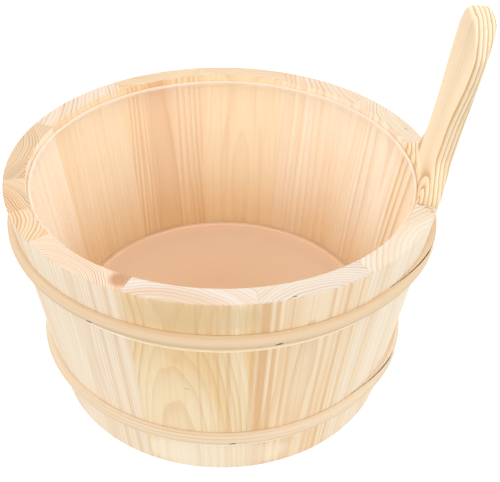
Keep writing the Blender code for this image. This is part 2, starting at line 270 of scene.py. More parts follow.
def pineMaterial(name, turn, pith, board):
    # Growth rings are cylinders about the pith. The distance from it, after a slow wander along
    # the fibres, is divided by the ring spacing, and its fraction runs through one year's tones.
    # A bowed heart comes nearer by bow q / (1 + q), where q is ((height - bowAt) / bowRun) squared.
    # What is added to the seed only keeps one pattern apart from another.
    look = {**pineLook, **board}
    seed = look["seed"]
    made, tree, shader = newMaterial(name)
    place = addNode(tree, "ShaderNodeTexCoord", {}, {}).outputs["Object"]
    local = addNode(
        tree,
        "ShaderNodeMapping",
        {"vector_type": "TEXTURE"},
        {"Vector": place, "Location": pith, "Rotation": turn, "Scale": (0.001, 0.001, 0.001)},
    ).outputs[0]

    def alongFibres(width, run, shift):
        # Width across the fibres and run along them, in mm
        inputs = {0: local, 1: (1 / width, 1 / width, 1 / run), 2: (shift, 2 * shift, 3 * shift)}
        return addNode(tree, "ShaderNodeVectorMath", scaleAdding, inputs).outputs[0]

    def fibreNoise(width, run, detail, shift):
        inputs = {"Vector": alongFibres(width, run, shift), "Scale": 1.0, "Detail": detail, "Roughness": 0.5}
        return addNode(tree, "ShaderNodeTexNoise", {}, inputs)

    def bandNoise(width, shift):
        # Noise that changes from year to year and only slowly along a board
        along = addNode(tree, "ShaderNodeMath", scaleAdding, {0: distance, 1: 1 / width, 2: shift}).outputs[0]
        fibres = alongFibres(look["bandAcross"], look["bandRun"], shift)
        inputs = {"Vector": fibres, "W": along, "Scale": 1.0, "Detail": 1.0}
        return addNode(tree, "ShaderNodeTexNoise", {"noise_dimensions": "4D"}, inputs).outputs[0]

    wander = local
    for width, run, detail, shift, size in (
        (look["warpLength"], look["warpRun"], 1.0, seed, look["warpSize"]),
        (look["rippleLength"], look["rippleRun"], 0.0, seed + 3, look["rippleSize"]),
    ):
        noise = fibreNoise(width, run, detail, shift).outputs[1]
        inputs = {0: noise, 1: (0.5, 0.5, 0.5)}
        noise = addNode(tree, "ShaderNodeVectorMath", {"operation": "SUBTRACT"}, inputs).outputs[0]
        inputs = {0: noise, 1: (size * 2, size * 2, size * 2), 2: wander}
        wander = addNode(tree, "ShaderNodeVectorMath", scaleAdding, inputs).outputs[0]
    parts = addNode(tree, "ShaderNodeSeparateXYZ", {}, {0: wander}).outputs

    # Distance from the heart
    inputs = {0: parts[2], 1: 1 / look["bowRun"], 2: -look["bowAt"] / look["bowRun"]}
    away = addNode(tree, "ShaderNodeMath", scaleAdding, inputs).outputs[0]
    away = addNode(tree, "ShaderNodeMath", scaling, {0: away, 1: away}).outputs[0]
    besides = addNode(tree, "ShaderNodeMath", adding, {0: away, 1: 1.0}).outputs[0]
    away = addNode(tree, "ShaderNodeMath", {"operation": "DIVIDE"}, {0: away, 1: besides}).outputs[0]
    bowed = addNode(tree, "ShaderNodeMath", scaleAdding, {0: away, 1: look["bow"], 2: parts[0]}).outputs[0]
    flat = addNode(tree, "ShaderNodeCombineXYZ", {}, {0: bowed, 1: parts[1]}).outputs[0]
    distance = addNode(tree, "ShaderNodeVectorMath", lengthOf, {0: flat}).outputs["Value"]

    # Years, each with its own strength, and groups of years alike
    start = addNode(tree, "ShaderNodeMath", adding, {0: distance, 1: seed * 31.0}).outputs[0]
    inputs = {"W": start, "Scale": look["unevenScale"], "Detail": 1.0}
    uneven = addNode(tree, "ShaderNodeTexNoise", {"noise_dimensions": "1D"}, inputs).outputs[0]
    inputs = {0: distance, 1: 1 / look["spacing"], 2: look["phase"]}
    years = addNode(tree, "ShaderNodeMath", scaleAdding, inputs).outputs[0]
    years = addNode(tree, "ShaderNodeMath", scaleAdding, {0: uneven, 1: look["uneven"], 2: years}).outputs[0]
    number = addNode(tree, "ShaderNodeMath", {"operation": "FLOOR"}, {0: years}).outputs[0]
    number = addNode(tree, "ShaderNodeMath", adding, {0: number, 1: seed * 7.0}).outputs[0]
    strength = addNode(tree, "ShaderNodeTexWhiteNoise", {"noise_dimensions": "1D"}, {"W": number})
    inputs = {0: strength.outputs["Value"], 1: 1 - look["steady"], 2: look["steady"]}
    strength = addNode(tree, "ShaderNodeMath", scaleAdding, inputs).outputs[0]
    inputs = {
        "Value": bandNoise(look["groupWidth"], seed + 23),
        "From Min": look["groupSpan"][0],
        "From Max": look["groupSpan"][1],
        "To Min": look["steady"],
        "To Max": 1.0,
    }
    group = addNode(tree, "ShaderNodeMapRange", softStep, inputs).outputs[0]
    fraction = addNode(tree, "ShaderNodeMath", {"operation": "FRACT"}, {0: years}).outputs[0]
    year = addNode(tree, "ShaderNodeValToRGB", {}, {"Fac": fraction})
    setRamp(year, look["year"])
    late = addNode(tree, "ShaderNodeMath", scaling, {0: year.outputs[0], 1: strength}).outputs[0]
    late = addNode(tree, "ShaderNodeMath", scaling, {0: late, 1: group}).outputs[0]

    fibre = fibreNoise(look["fibreWidth"], look["fibreRun"], 2.0, seed + 5).outputs[0]
    thread = fibreNoise(look["threadWidth"], look["threadRun"], 1.0, seed + 11).outputs[0]
    inputs = {
        "Value": bandNoise(look["bandWidth"], seed + 17),
        "From Min": look["bandSpan"][0],
        "From Max": look["bandSpan"][1],
        "To Max": look["drift"],
    }
    drift = addNode(tree, "ShaderNodeMapRange", softStep, inputs).outputs[0]
    start, full = look["threadSpan"]
    inputs = {"Value": thread, "From Min": start, "From Max": full, "To Max": look["thread"]}
    threads = addNode(tree, "ShaderNodeMapRange", softStep, inputs).outputs[0]
    lateFace = addNode(tree, "ShaderNodeMath", scaling, {0: late, 1: look["contrast"]}).outputs[0]
    lateEnd = addNode(tree, "ShaderNodeMath", scaling, {0: late, 1: look["endContrast"]}).outputs[0]

    # Faces: bands, summer wood, threads, streaks and the grooves' paler fresh wood with its painted
    # light and highlight, laid over spring wood one after another
    overFace = [(drift, "warm"), (lateFace, "late"), (threads, "late")]
    for angle, width, share in look["streaks"]:
        turned = (0.0, 0.0, math.radians(angle))
        inputs = {"Vector": place, "Location": (axisX, 0.0, 0.0), "Rotation": turned}
        aside = addNode(tree, "ShaderNodeMapping", {"vector_type": "TEXTURE"}, inputs).outputs[0]
        aside = addNode(tree, "ShaderNodeSeparateXYZ", {}, {0: aside}).outputs[1]
        aside = addNode(tree, "ShaderNodeMath", {"operation": "ABSOLUTE"}, {0: aside}).outputs[0]
        inputs = {0: aside, 1: 1000 / width, 2: thread}
        aside = addNode(tree, "ShaderNodeMath", scaleAdding, inputs).outputs[0]
        start, full = look["streakSpan"]
        inputs = {"Value": aside, "From Min": start, "From Max": full, "To Max": share}
        overFace.append((addNode(tree, "ShaderNodeMapRange", softStep, inputs).outputs[0], "streak"))
    # Groove layer: paler fresh wood with painted light in the hoops' grooves and a painted highlight below
    # them
    groove = addNode(tree, "ShaderNodeAttribute", {"attribute_name": "groove"}, {}).outputs["Fac"]
    overFace.append((groove, "freshAndLit"))
    colour = linearColour(look["pale"])
    for share, tone in overFace:
        inputs = {0: share, 6: colour, 7: linearColour(look[tone])}
        colour = addNode(tree, "ShaderNodeMix", laidOver, inputs).outputs[2]
    inputs = {0: 1.0, 6: colour, 7: linearColour(look["tint"])}
    colour = addNode(tree, "ShaderNodeMix", tinting, inputs).outputs[2]

    # End grain, which the rim and the foot show
    end = linearColour(look["endPale"])
    for share, tone in ((drift, "endWarm"), (lateEnd, "endLate")):
        inputs = {0: share, 6: end, 7: linearColour(look[tone])}
        end = addNode(tree, "ShaderNodeMix", laidOver, inputs).outputs[2]
    inputs = {0: 1.0, 6: end, 7: linearColour(look["endTint"])}
    end = addNode(tree, "ShaderNodeMix", tinting, inputs).outputs[2]
    endGrain = addNode(tree, "ShaderNodeAttribute", {"attribute_name": "endGrain"}, {}).outputs["Fac"]
    colour = addNode(tree, "ShaderNodeMix", laidOver, {0: endGrain, 6: colour, 7: end}).outputs[2]
    inputs = {0: fibre, 1: look["fibreTone"] * 2, 2: 1 - look["fibreTone"]}
    tone = addNode(tree, "ShaderNodeMath", scaleAdding, inputs).outputs[0]
    grey = addNode(tree, "ShaderNodeCombineXYZ", {}, {0: tone, 1: tone, 2: tone}).outputs[0]
    colour = addNode(tree, "ShaderNodeMix", tinting, {0: 1.0, 6: colour, 7: grey}).outputs[2]

    for mark in look["marks"]:
        # A knot, crack or stained place: an ellipsoid about a point, with a soft uneven edge
        inputs = {
            "Vector": place,
            "Location": aboutAxis(*mark["place"]),
            "Rotation": (math.radians(mark.get("tilt", 0.0)), 0.0, math.radians(mark["place"][0])),
            "Scale": tuple(s / 1000 for s in mark["size"]),
        }
        near = addNode(tree, "ShaderNodeMapping", {"vector_type": "TEXTURE"}, inputs).outputs[0]
        reach = addNode(tree, "ShaderNodeVectorMath", lengthOf, {0: near}).outputs["Value"]
        reach = addNode(tree, "ShaderNodeMath", adding, {0: reach, 1: -look["markFray"] / 2}).outputs[0]
        inputs = {0: fibre, 1: look["markFray"], 2: reach}
        reach = addNode(tree, "ShaderNodeMath", scaleAdding, inputs).outputs[0]
        core = mark.get("core", 0.4)
        inputs = {"Value": reach, "From Min": 1.0, "From Max": core, "To Max": mark["share"]}
        share = addNode(tree, "ShaderNodeMapRange", softStep, inputs).outputs[0]
        inputs = {0: share, 6: colour, 7: linearColour(mark["colour"])}
        colour = addNode(tree, "ShaderNodeMix", laidOver, inputs).outputs[2]

    relief = addNode(tree, "ShaderNodeMath", scaling, {0: fibre, 1: look["fibreRelief"] / 1000}).outputs[0]
    inputs = {0: late, 1: look["ringRelief"] / 1000, 2: relief}
    relief = addNode(tree, "ShaderNodeMath", scaleAdding, inputs).outputs[0]
    inputs = {"Height": relief, "Distance": 1.0, "Strength": look["reliefShare"]}
    bump = addNode(tree, "ShaderNodeBump", {}, inputs)
    inputs = {0: late, 1: look["lateRoughness"], 2: look["roughness"]}
    dull = addNode(tree, "ShaderNodeMath", scaleAdding, inputs).outputs[0]
    tree.links.new(colour, shader.inputs["Base Color"])
    tree.links.new(dull, shader.inputs["Roughness"])
    tree.links.new(bump.outputs[0], shader.inputs["Normal"])
    shader.inputs["Specular IOR Level"].default_value = look["specular"]
    return made


def aboutAxis(angle, radius, height):
    # Point at an angle round the bucket's axis, in degrees, with its radius and height in mm
    turn = math.radians(angle)
    return (axisX + radius / 1000 * math.cos(turn), radius / 1000 * math.sin(turn), height / 1000)


# Wall sections. Radii follow the cone, less what the grooves and rounded edges take off.
def outerRadius(z):
    # A straight line from the foot's radius to the rim's
    return wall["footRadius"] + (wall["rimRadius"] - wall["footRadius"]) * z / wall["height"]


def innerRadius(z):
    # The outer radius less the wall's thickness, measured level
    return outerRadius(z) - wall["thickness"]


def hoopSeat(middle):
    # Lower and upper edge of the groove for a hoop whose middle is at this height. The groove
    # ends just above the hoop and runs on below it.
    top = middle + hoops["width"] / 2 + hoops["clearance"]
    return top - wall["seatWidth"], top


def rowHeights(top):
    # Heights packed closely at the rounded edges and at each groove's two edges
    edge = wall["edgeRound"] * (1 - np.cos(np.linspace(0, np.pi / 2, wall["edgeSteps"])))
    rows = [edge, top - edge, np.linspace(wall["edgeRound"], top - wall["edgeRound"], wall["rows"])]
    for low, high in (hoopSeat(hoops["upper"]["height"]), hoopSeat(hoops["lower"]["height"])):
        # Rows for the painted highlight strip below each seat, then for the seat's edges
        strip = low - wall["highlightStrip"]
        rows.append([strip, strip + wall["stripEdge"], low, low + wall["seatEdge"]])
        rows.append([high - wall["seatEdge"], high])
    for z in (wall["crozeLow"], wall["crozeHigh"]):
        rows.append([z, z + wall["crozeEdge"]])
    return np.unique(np.round(np.concatenate(rows), 6))


def edgeInset(z, top):
    # Quarter circle at the foot and at the top
    away = np.minimum(z, top - z)
    share = np.clip(1 - away / wall["edgeRound"], 0, 1)
    return wall["edgeRound"] * (1 - np.sqrt(1 - share**2))


def seatInset(z):
    # Depth taken off by the two hoop seats, with a short straight ramp at each edge
    inset = np.zeros_like(z)
    for low, high in (hoopSeat(hoops["upper"]["height"]), hoopSeat(hoops["lower"]["height"])):
        ramp = np.minimum(z - low, high - z) / wall["seatEdge"]
        inset = np.maximum(inset, wall["seatDepth"] * np.clip(ramp, 0, 1))
    return inset


def staveLayers(z, top):
    # End grain is at the rim and the foot, with a soft edge on their roundings. Each hoop's groove
    # is 1 from the painted highlight strip below it up to its upper edge, where paler fresh wood and painted
    # light go.
    away = np.minimum(z, top - z)
    end = np.clip(wall["endFade"] * (1 - away / wall["edgeRound"]), 0, 1)
    groove = np.zeros_like(z)
    margin = wall["stripEdge"] / 2
    for low, high in (hoopSeat(hoops["upper"]["height"]), hoopSeat(hoops["lower"]["height"])):
        freshAndLit = (z > low - wall["highlightStrip"] + margin) & (z < high - margin)
        groove = np.maximum(groove, freshAndLit)
    return end, groove


def crozeInset(z):
    # The croze's whole depth between its two edges, and nothing outside them
    edge = wall["crozeEdge"] / 2
    inside = (z > wall["crozeLow"] + edge) & (z < wall["crozeHigh"] + edge)
    return np.where(inside, wall["crozeDepth"], 0.0)


def staveMesh(start, end):
    # A loop up the outer face and down the inner face, carried round from one joint to the next.
    # The first and last loops are drawn in by the arris, so a joint shows as a fine line.
    z = rowHeights(wall["height"])
    trim = edgeInset(z, wall["height"])
    outer = outerRadius(z) - trim - seatInset(z)
    inner = innerRadius(z) + trim + crozeInset(z)
    radius = np.concatenate([outer, inner[::-1]])
    height = np.concatenate([z, z[::-1]])
    side = np.concatenate([np.ones_like(z), -np.ones_like(z)])
    gap = math.degrees(wall["jointGap"] / wall["rimRadius"])
    arris = math.degrees(wall["jointArris"] / wall["rimRadius"])
    between = np.linspace(start + gap + arris, end - gap - arris, wall["columns"])
    angles = np.radians(np.concatenate([[start + gap], between, [end - gap]]))
    drawn = np.zeros(len(angles))
    drawn[[0, -1]] = wall["jointArris"]
    loopRadius = radius[None, :] - side[None, :] * drawn[:, None]
    middle = wall["height"] / 2
    loopHeight = middle + (height[None, :] - middle) * (1 - drawn[:, None] / middle)
    points = aroundAxis(loopRadius, angles[:, None], loopHeight)
    end, groove = staveLayers(z, wall["height"])
    end = np.concatenate([end, end[::-1]])
    groove = np.concatenate([groove, groove * 0])
    layers = {
        "endGrain": np.broadcast_to(end, loopRadius.shape),
        "groove": np.broadcast_to(groove, loopRadius.shape),
    }
    columns = len(radius)
    faces = gridQuads(len(angles), columns, closeColumns=True).tolist()
    i = np.arange(len(z) - 1)
    cap = np.stack([i, i + 1, columns - 2 - i, columns - 1 - i], axis=-1)
    last = (len(angles) - 1) * columns
    faces += cap.tolist() + (cap[:, ::-1] + last).tolist()
    return points, faces, layers


# Painted light and shade on the front that run over two staves: paler near the foot, a painted pool of the
# floor's bounce light, and browner under the rim, painted shade
paintedFrontLight = [
    {"place": (272.0, 111, 12), "size": (16, 62, 16), "core": 0.7, "share": 0.5, "colour": "#fdf2de"},
    {"place": (268.0, 129, 138), "size": (16, 50, 13), "core": 0.6, "share": 0.4, "colour": "#d6bd94"},
]

# Each board's growth rings, as seen on the rim: pith is how far the heart lies outside the rim
# and then along it from the middle of the stave, in mm, and lean tilts it along the stave, in
# degrees. A mark's place is its angle round the bucket and its radius and height in mm, and its
# size runs outward, round and up.
staveBoards = [
    {
        "width": 29.0,
        "endTint": "#f7f7e5",
        "pith": (46, -15),
        "spacing": 2.1,
        "contrast": 0.5,
        "drift": 0.3,
        "lean": 0.5,
        "marks": [{"place": (24.3, 124.8, 149), "size": (1.0, 2.0, 2), "share": 0.45, "colour": "#8a5a38"}],
    },
    {
        "width": 28.5,
        "endTint": "#f7f1dd",
        "pith": (42, -52),
        "spacing": 3.4,
        "contrast": 0.35,
        "drift": 0.5,
        "lean": 0.5,
    },
    {
        "width": 28.5,
        "tint": "#fdf4e0",
        "endTint": "#f5ebd0",
        "pith": (58, -3),
        "spacing": 2.6,
        "contrast": 0.35,
        "drift": 0.4,
        "lean": 1.0,
        "bow": 4.0,
        "bowAt": -20,
    },
    {
        "width": 28.0,
        "endTint": "#f5ebcb",
        "pith": (42, 2),
        "spacing": 2.06,
        "uneven": 0.2,
        "phase": 0.3,
        "contrast": 0.8,
        "drift": 0.5,
        "lean": 0.0,
        "tint": "#fbf0de",
        "streaks": [(117.4, 12.4, 0.45), (122.8, 1.6, 0.4), (126.0, 1.2, 0.3), (111.3, 1.0, 0.3)],
    },
    {
        "width": 32.5,
        "tint": "#faf2e3",
        "endTint": "#f6f3e2",
        "pith": (100, 90),
        "spacing": 2.6,
        "contrast": 0.35,
        "drift": 0.3,
        "endContrast": 0.8,
    },
    {
        "width": 30.1,
        "endTint": "#f0e3c4",
        "pith": (46, 5),
        "spacing": 1.7,
        "contrast": 0.3,
        "drift": 0.4,
        "endContrast": 1.0,
        "endLate": "#a8764c",
        "marks": [{"place": (179.5, 117, 149), "size": (4, 6, 4), "share": 0.5, "colour": "#e3b272"}],
    },
    {
        "width": 15.4,
        "endTint": "#f6eacb",
        "pith": (55, 30),
        "spacing": 1.5,
        "contrast": 0.8,
        "drift": 0.6,
        "endContrast": 1.0,
        "endLate": "#a8764c",
    },
    {
        "width": 13.6,
        "endTint": "#fcf1d0",
        "pith": (20, -12),
        "spacing": 2.1,
        "contrast": 0.9,
        "drift": 0.8,
        "endContrast": 1.0,
    },
    {
        "width": 29.3,
        "endTint": "#fdf6e2",
        "pith": (27, -2),
        "spacing": 1.25,
        "contrast": 0.55,
        "drift": 0.6,
        "endContrast": 0.9,
        "lean": 0.3,
        "marks": [
            {"place": (249.4, 122, 149), "size": (7.5, 7.5, 4), "share": 0.7, "colour": "#b97e54"},
            {"place": (252.0, 118, 149), "size": (1.6, 3.2, 3), "share": 0.5, "colour": "#a06c46"},
        ],
        "streaks": [(237.2, 7.4, 0.2), (243.3, 1.6, 0.3), (247.5, 2.0, 0.3)],
    },
    {
        "width": 30.8,
        "endTint": "#f4f8f3",
        "pith": (54, -12),
        "spacing": 2.3,
        "contrast": 0.6,
        "drift": 0.7,
        "lean": 0.0,
        "bow": 7.0,
        "bowAt": -32,
        "bowRun": 45.0,
        "tint": "#fdf7e6",
        "streaks": [(268.5, 1.0, 0.25), (273.3, 1.0, 0.25), (275.9, 1.8, 0.3), (281.6, 1.4, 0.35)],
        "marks": [
            *paintedFrontLight,
            {
                "place": (265.2, 120, 78.6),
                "size": (6, 2.6, 0.6),
                "tilt": -14,
                "share": 0.5,
                "colour": "#b09468",
            },
            # Painted shade under the rim, over the front's painted light and shade
            {"place": (266.0, 127, 138), "size": (9, 16, 13), "core": 0.0, "share": 0.3, "colour": "#dcb67a"},
            {"place": (263.0, 124, 104), "size": (9, 6, 9), "core": 0.0, "share": 0.35, "colour": "#e2b377"},
        ],
    },
    {
        "width": 28.2,
        "endTint": "#f1f5ec",
        "pith": (35, -3),
        "spacing": 2.1,
        "contrast": 0.4,
        "endContrast": 0.9,
        "drift": 0.4,
        "lean": 0.3,
        "tint": "#fff8ec",
        "marks": [
            *paintedFrontLight,
            {"place": (290.5, 128.6, 149), "size": (0.55, 1.9, 2), "share": 0.8, "colour": "#5c4630"},
        ],
        "streaks": [
            (284.0, 3.8, 0.65),
            (286.9, 1.6, 0.55),
            (290.4, 1.2, 0.35),
            (300.3, 1.4, 0.35),
            (304.6, 1.6, 0.4),
            (308.3, 1.4, 0.35),
        ],
    },
    {
        "width": 32.8,
        "endTint": "#f7faec",
        "pith": (42, 8),
        "spacing": 3.0,
        "contrast": 0.35,
        "drift": 0.4,
        "lean": 0.3,
        "marks": [
            {"place": (343.2, 119.5, 149), "size": (3.0, 0.7, 2), "share": 0.6, "colour": "#8a6b46"},
            {"place": (342.4, 124.5, 149), "size": (3.4, 0.6, 2), "share": 0.6, "colour": "#8a6b46"},
            {"place": (341.2, 127.6, 149), "size": (1.4, 1.6, 2), "share": 0.4, "colour": "#8a6b46"},
        ],
    },
]
handleStaveAngle = 33.3
wallSlope = math.atan((wall["rimRadius"] - wall["footRadius"]) / wall["height"])


def boardPith(angle, pith):
    # Point that far outside the rim at an angle, then along the rim's tangent, at rim height
    out = wall["rimRadius"] + pith[0] / 1000
    along = pith[1] / 1000
    c = math.cos(math.radians(angle))
    s = math.sin(math.radians(angle))
    return (axisX + out * c - along * s, out * s + along * c, wall["height"])


def makeStaves():
    start = handleStaveAngle / 2
    spare = 360 - handleStaveAngle
    total = sum(board["width"] for board in staveBoards)
    for number, board in enumerate(staveBoards, start=1):
        width = board["width"] * spare / total
        angle = start + width / 2
        node = "stave_%02d" % number
        turn = (0.0, wallSlope - math.radians(board.get("lean", 0.0)), math.radians(angle))
        settings = {"seed": 5.3 * number, **board}
        material = pineMaterial("pine stave %d" % number, turn, boardPith(angle, board["pith"]), settings)
        points, faces, layers = staveMesh(start, start + width)
        piece = newPiece("pine_" + node, points, faces, material, wall["sharpAngle"], layers)
        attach(piece, "bucket")
        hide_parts(node)
        start += width
    print("staves: %d" % len(staveBoards))


handle = {
    "length": 0.1020,
    "waist": 0.0456,  # width at the narrowest
    "swell": 0.0134,  # added width towards the end
    "swellStart": 0.0390,
    "swellRun": 0.0390,
    "flareRun": 0.0230,  # above the rim, where it widens into the wall
    "flattenRun": 0.0240,
    "ledge": 0.00025,  # its back half is planed flat from here up, and leaves a ledge
    "ledgeRun": 0.0100,
    "edgeRun": 0.0120,
    "setBack": 0.0006,
    "upright": 0.005,  # it leans out this much less than the wall
    "innerBow": 0.199,  # radius of the slightly rounded inner face
    "outerBow": 0.096,
    "tipLength": 0.0190,
    "tipPower": 1.5,
    "tipRounding": 0.0050,
    "tipRoundingPower": 2.5,
    "tipLast": 0.9995,  # the last section lies this far up, just short of the tip
    "edge": 0.0038,
    "edgeOfThickness": 0.46,  # the most that a rounded edge takes of the board's thickness
    "edgeOfWidth": 0.6,
    "wallEdge": 0.00022,
    "faceSteps": 20,
    "cornerSteps": 8,
    "rows": 96,
    "sharpAngle": 35,
    "board": {
        "pith": (350, 0),
        "spacing": 2.25,
        "uneven": 0.0,
        "steady": 0.8,
        "phase": -0.04,
        "pale": "#fbe9ca",
        "warm": "#f3cf98",
        "late": "#c69a5e",
        "contrast": 1.0,
        "drift": 0.3,
        "lean": -0.3,
        "warpSize": 0.35,
        "rippleSize": 0.15,
        "seed": 71.0,
    },
}


def roundedEnd(distance, run, power):
    # Root of 1 - s to a power, where s falls from 1 at the end to 0 at run: with a power of 2 it
    # is a quarter ellipse, and with more it is squarer
    share = np.clip(1 - distance / run, 0, 1)
    return np.sqrt(np.clip(1 - share**power, 0, 1))


def smoothStep(share):
    # 3 s squared less 2 s cubed, held from 0 to 1
    share = np.clip(share, 0, 1)
    return share * share * (3 - 2 * share)


def makeHandleStave():
    # Sections of the stave one above the other. Above the rim its sides sweep in to a waist and
    # out again to a wide round end. The back half of the inner face is planed flat straight from
    # the rim. Its front half and the outer face turn slowly from the wall's curve to a flatter one.
    low = rowHeights(wall["height"])
    low = low[low < wall["height"] - wall["edgeRound"]]
    rise = handle["length"] * (1 - np.cos(np.linspace(0, np.pi, handle["rows"]))) / 2
    rise = np.concatenate([[0, handle["ledge"]], rise[rise > handle["ledge"] * 2]])
    z = np.concatenate([low, wall["height"] + np.minimum(rise, handle["length"] * handle["tipLast"])])
    rise = z - wall["height"]
    above = rise > 0
    foot = np.where(z < wall["edgeRound"], edgeInset(z, wall["height"]), 0.0)
    inner = innerRadius(z) + foot + np.where(above, 0, crozeInset(z))
    outer = outerRadius(z) - foot - np.where(above, 0, seatInset(z))
    grip = handle["waist"] + handle["swell"] * smoothStep((rise - handle["swellStart"]) / handle["swellRun"])
    grip = grip / 2 * roundedEnd(handle["length"] - rise, handle["tipLength"], handle["tipPower"])
    flare = smoothStep(1 - rise / handle["flareRun"])
    halfAngle = math.radians(handleStaveAngle) / 2 - wall["jointGap"] / wall["rimRadius"]
    halfInner = grip + (inner * math.sin(halfAngle) - grip) * flare
    halfOuter = grip + (outer * math.sin(halfAngle) - grip) * flare
    thick = outer - inner
    corner = handle["wallEdge"] + (handle["edge"] - handle["wallEdge"]) * smoothStep(rise / handle["edgeRun"])
    corner = np.minimum(corner, thick * handle["edgeOfThickness"])
    corner = np.minimum(corner, halfInner * handle["edgeOfWidth"])
    turn = np.linspace(0, np.pi / 2, handle["cornerSteps"] + 1)
    fromSide = corner[:, None] * (1 - np.sin(turn))[None, :]
    depth = corner[:, None] * (1 - np.cos(turn))[None, :]
    fromSide = np.concatenate([fromSide, fromSide[:, ::-1]], axis=1)
    depth = np.concatenate([depth, thick[:, None] - depth[:, ::-1]], axis=1)
    half = halfInner[:, None] + (halfOuter - halfInner)[:, None] * depth / thick[:, None]
    across = half - fromSide
    share = 1 - 2 * np.arange(1, handle["faceSteps"]) / handle["faceSteps"]
    outerFace = across[:, -1:] * share
    innerFace = -across[:, :1] * share
    across = np.concatenate([across, outerFace, -across[:, ::-1], innerFace], axis=1)
    plain = np.ones_like(share)[None, :]
    depth = np.concatenate([depth, depth[:, -1:] * plain, depth[:, ::-1], depth[:, :1] * plain], axis=1)
    turned = smoothStep(rise / handle["flattenRun"])[:, None]
    planed = np.where(rise >= handle["ledge"], 1.0, 0.0)[:, None]
    planed = turned + (planed - turned) * smoothStep(0.5 + across / handle["ledgeRun"])
    setBack = (handle["setBack"] - handle["upright"] * rise)[:, None]
    near = np.sqrt(inner[:, None] ** 2 - across**2)
    flat = inner[:, None] + setBack + across**2 / (2 * handle["innerBow"])
    near = near + (flat - near) * planed
    far = np.sqrt(outer[:, None] ** 2 - across**2)
    bowed = outer[:, None] + setBack - across**2 / (2 * handle["outerBow"])
    far = far + (bowed - far) * turned
    tip = roundedEnd(handle["length"] - rise, handle["tipRounding"], handle["tipRoundingPower"])[:, None]
    outward = (near + far) / 2 + (far - near) * (depth / thick[:, None] - 0.5) * tip
    points = np.stack(np.broadcast_arrays(axisX + outward, across, z[:, None]), axis=-1)
    rows, columns = across.shape
    faces = gridQuads(rows, columns, closeColumns=True).tolist()
    faces.append(list(range(columns))[::-1])
    faces.append(list(range((rows - 1) * columns, rows * columns)))
    board = handle["board"]
    turn = (0.0, wallSlope - math.radians(board["lean"]), 0.0)
    material = pineMaterial("pine handle stave", turn, boardPith(0.0, board["pith"]), board)
    piece = newPiece("pine_handle_stave", points, faces, material, handle["sharpAngle"])
    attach(piece, "bucket")
    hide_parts("handle_stave")
    print("handle stave: %d points" % (rows * columns))


# Hoop strips: split pine, planed half-round and bent, so the fibres follow the ring.
hoopLook = {
    "late": "#cfa273",
    "lineWidth": 1.5,  # mm across the strip
    "lineRun": 260.0,  # mm along it
    "lineSpan": (0.48, 0.72),
    "lineShare": 0.6,
    "under": "#d7b38b",  # painted shade below its crown, where the section faces down
    "underSpan": (0.0070, 0.0108),  # metres round the section from the strip's top
    "underShare": 0.9,
    "litLip": "#f8e7cb",  # painted highlight on its lowest edge
    "litLipSpan": (0.0128, 0.0138),
    "litLipShare": 1.0,
    "slit": "#43331f",
    "slitSpan": (1.15, 0.75),  # in units of the split's own size
    "slitShare": 0.95,
    "fibreWidth": 0.3,
    "fibreRun": 22.0,
    "fibreTone": 0.09,
    "fibreRelief": 0.08,  # mm
    "patchWidth": 40.0,
    "patchRun": 90.0,
    "patchTone": 0.1,
    "reliefShare": 0.6,
    "plainTone": 0.9,
    "roughness": 0.55,
    "specular": 0.32,
}


